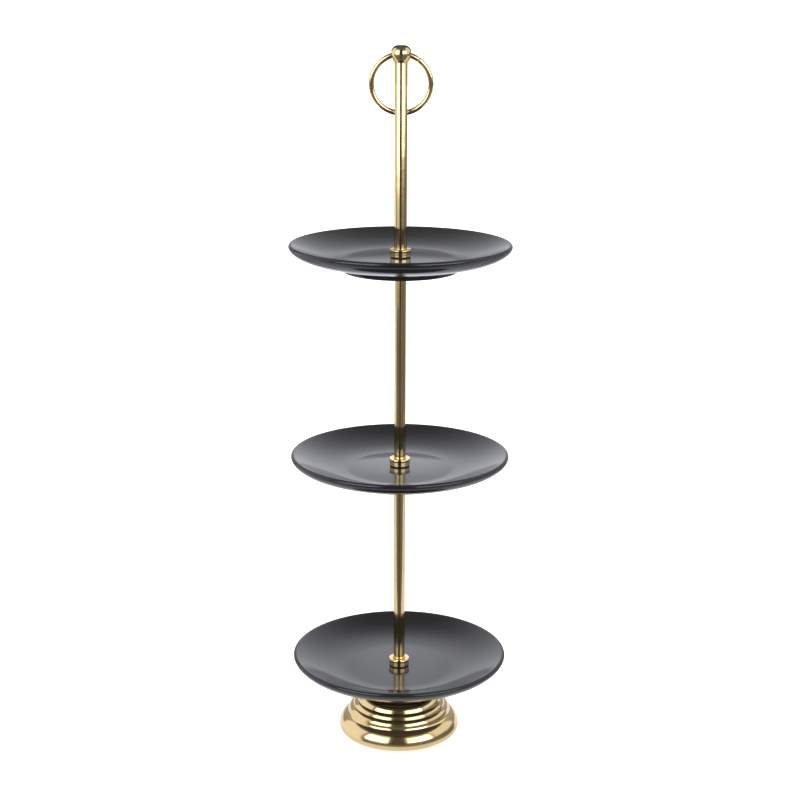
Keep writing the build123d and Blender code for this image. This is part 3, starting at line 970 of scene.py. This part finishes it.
def add_screen(studio):
    """Curved screen round the front: two softboxes over their spill, with the dark room between.
    A point at angle a lies at (R sin a, -R cos a, z).
    """
    reach, height = studio.screen_distance, 2.4

    def level(tree, place):
        turn, _, z = direction(tree, place)
        left = band(tree, turn, degrees(studio.left_from), degrees(studio.left_to), 2.5)
        right = band(tree, turn, degrees(studio.right_from), degrees(studio.right_to), 2.5)
        gap = band(tree, turn, degrees(studio.left_to), degrees(studio.right_from), 4)
        ground = over(tree, constant(tree, studio.dark_level), gap, studio.gap_level)
        above = mapped(tree, z, 0.2, 0.35, 0, 1, smooth=True)
        wall = maths(tree, "MULTIPLY", band(tree, turn, 72, 200, 5), above)
        ground = over(tree, ground, wall, studio.right_level)
        rising = mapped(tree, z, 0, studio.left_bottom, 0.6, 1.25)
        ground = over(tree, ground, left, maths(tree, "MULTIPLY", rising, studio.left_spill))
        ground = over(tree, ground, right, maths(tree, "MULTIPLY", rising, studio.right_spill))
        over_left = band(tree, z, studio.left_bottom, studio.box_top, 0.03)
        over_right = band(tree, z, studio.right_bottom, studio.box_top, 0.03)
        ground = over(tree, ground, maths(tree, "MULTIPLY", left, over_left), studio.box_level)
        return over(tree, ground, maths(tree, "MULTIPLY", right, over_right), studio.box_level)

    turn = np.radians(np.linspace(-74, 100, 59))
    low = np.stack((reach * np.sin(turn), -reach * np.cos(turn), 0 * turn), axis=1)
    points = np.concatenate((low, low + (0, 0, height)))
    first = np.arange(len(turn) - 1)
    faces = np.stack((first, first + 1, first + 1 + len(turn), first + len(turn)), axis=1)
    add_glow("front_screen", level, SOFTBOX_TINT, points.tolist(), faces.tolist())


def add_dark_floor(studio):
    """Dark floor in front of the white table, darkest straight ahead."""

    def level(tree, place):
        turn, _, _ = direction(tree, place)
        gap = band(tree, turn, degrees(studio.left_to), degrees(studio.right_from), 6)
        return over(tree, constant(tree, studio.dark_level), gap, 0.10)

    front, side, far = -studio.table_front, 3.0, -4.0
    corners = [(-side, far, 0), (side, far, 0), (side, front, 0), (-side, front, 0)]
    add_glow("dark_floor", level, SOFTBOX_TINT, corners, [(0, 1, 2, 3)])


def add_backdrop(studio):
    """Lit patch of the backdrop: brightest low behind the stand, fading upwards and to the sides."""

    def level(tree, place):
        x, _, z = add_node(tree, "SeparateXYZ", {"Vector": place}).outputs
        aside = maths(tree, "ABSOLUTE", x)
        by_height = graph(tree, z, BACKDROP_HEIGHTS, 0, 1.2)
        return maths(tree, "MULTIPLY", by_height, graph(tree, aside, BACKDROP_SIDES, 0, 0.4))

    back = studio.backdrop_distance
    corners = [(-0.4, back, 0), (0.4, back, 0), (0.4, back, 1.2), (-0.4, back, 1.2)]
    add_glow("backdrop", level, BACKDROP_TINT, corners, [(0, 1, 2, 3)])


def add_flag(studio):
    """Narrow black flag behind the top plate, which darkens what the back of its well mirrors."""
    back, side, low, high = studio.flag_distance, studio.flag_side, studio.flag_bottom, studio.flag_top
    corners = [(-side, back, low), (side, back, low), (side, back, high), (-side, back, high)]
    add_glow("flag", lambda tree, _: constant(tree, studio.flag_level), SOFTBOX_TINT, corners, [(0, 1, 2, 3)])


class CAKESTAND_OT_studio(bpy.types.Operator):
    """Set up the floor, room, lights and camera"""

    bl_idname = "cake_stand.add_studio"
    bl_label = "Studio"

    def execute(self, context):
        scene = context.scene
        studio = scene.stand_studio
        scene.view_settings.view_transform = "Standard"
        add_room(studio)
        add_floor(scene.stand_finishes, studio)
        add_screen(studio)
        add_dark_floor(studio)
        add_backdrop(studio)
        add_flag(studio)
        above = bpy.data.lights.new("soft_top", "SUN")
        above.energy = studio.top_level
        above.angle = radians(100)
        stage_object("soft_top", above, glossy=False).location = (0, 0, 2)
        camera = bpy.data.cameras.new("camera")
        camera.lens = studio.lens
        camera.clip_end = 200
        viewer = bpy.data.objects.new("camera", camera)
        scene.collection.objects.link(viewer)
        viewer.location = (0, -studio.camera_distance, studio.camera_height)
        aim = Vector((0, cos(studio.camera_pitch), -sin(studio.camera_pitch))).to_track_quat("-Z", "Y")
        viewer.rotation_mode = "QUATERNION"
        viewer.rotation_quaternion = aim @ Quaternion((0, 0, 1), studio.camera_roll)
        scene.camera = viewer
        return {"FINISHED"}


# ---------------------------------------------------------------- panel and registration
class CAKESTAND_PT_panel(bpy.types.Panel):
    bl_idname = "CAKESTAND_PT_panel"
    bl_label = "Cake Stand"
    bl_space_type = "VIEW_3D"
    bl_region_type = "UI"
    bl_category = "Cake Stand"

    def draw(self, context):
        for operator in OPERATORS:
            self.layout.operator(operator.bl_idname)


OPERATORS = (
    CAKESTAND_OT_studio,
    CAKESTAND_OT_plates,
    CAKESTAND_OT_collars,
    CAKESTAND_OT_supports,
    CAKESTAND_OT_stems,
    CAKESTAND_OT_pedestal,
    CAKESTAND_OT_finial,
    CAKESTAND_OT_ring,
    CAKESTAND_OT_small_parts,
)


def register():
    for cls in (*SETTINGS.values(), *OPERATORS, CAKESTAND_PT_panel):
        bpy.utils.register_class(cls)
    for name, group in SETTINGS.items():
        setattr(bpy.types.Scene, name, bpy.props.PointerProperty(type=group))


def unregister():
    for name in SETTINGS:
        delattr(bpy.types.Scene, name)
    for cls in reversed((*SETTINGS.values(), *OPERATORS, CAKESTAND_PT_panel)):
        bpy.utils.unregister_class(cls)


def main():
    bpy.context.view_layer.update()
    register()
    bpy.ops.cake_stand.add_studio()
    bpy.ops.cake_stand.add_plates()
    bpy.ops.cake_stand.add_collars()
    bpy.ops.cake_stand.add_supports()
    bpy.ops.cake_stand.add_stems()
    bpy.ops.cake_stand.add_pedestal()
    bpy.ops.cake_stand.add_finial()
    bpy.ops.cake_stand.add_ring()
    bpy.ops.cake_stand.finish_small_parts()


if __name__ == "__main__":
    main()
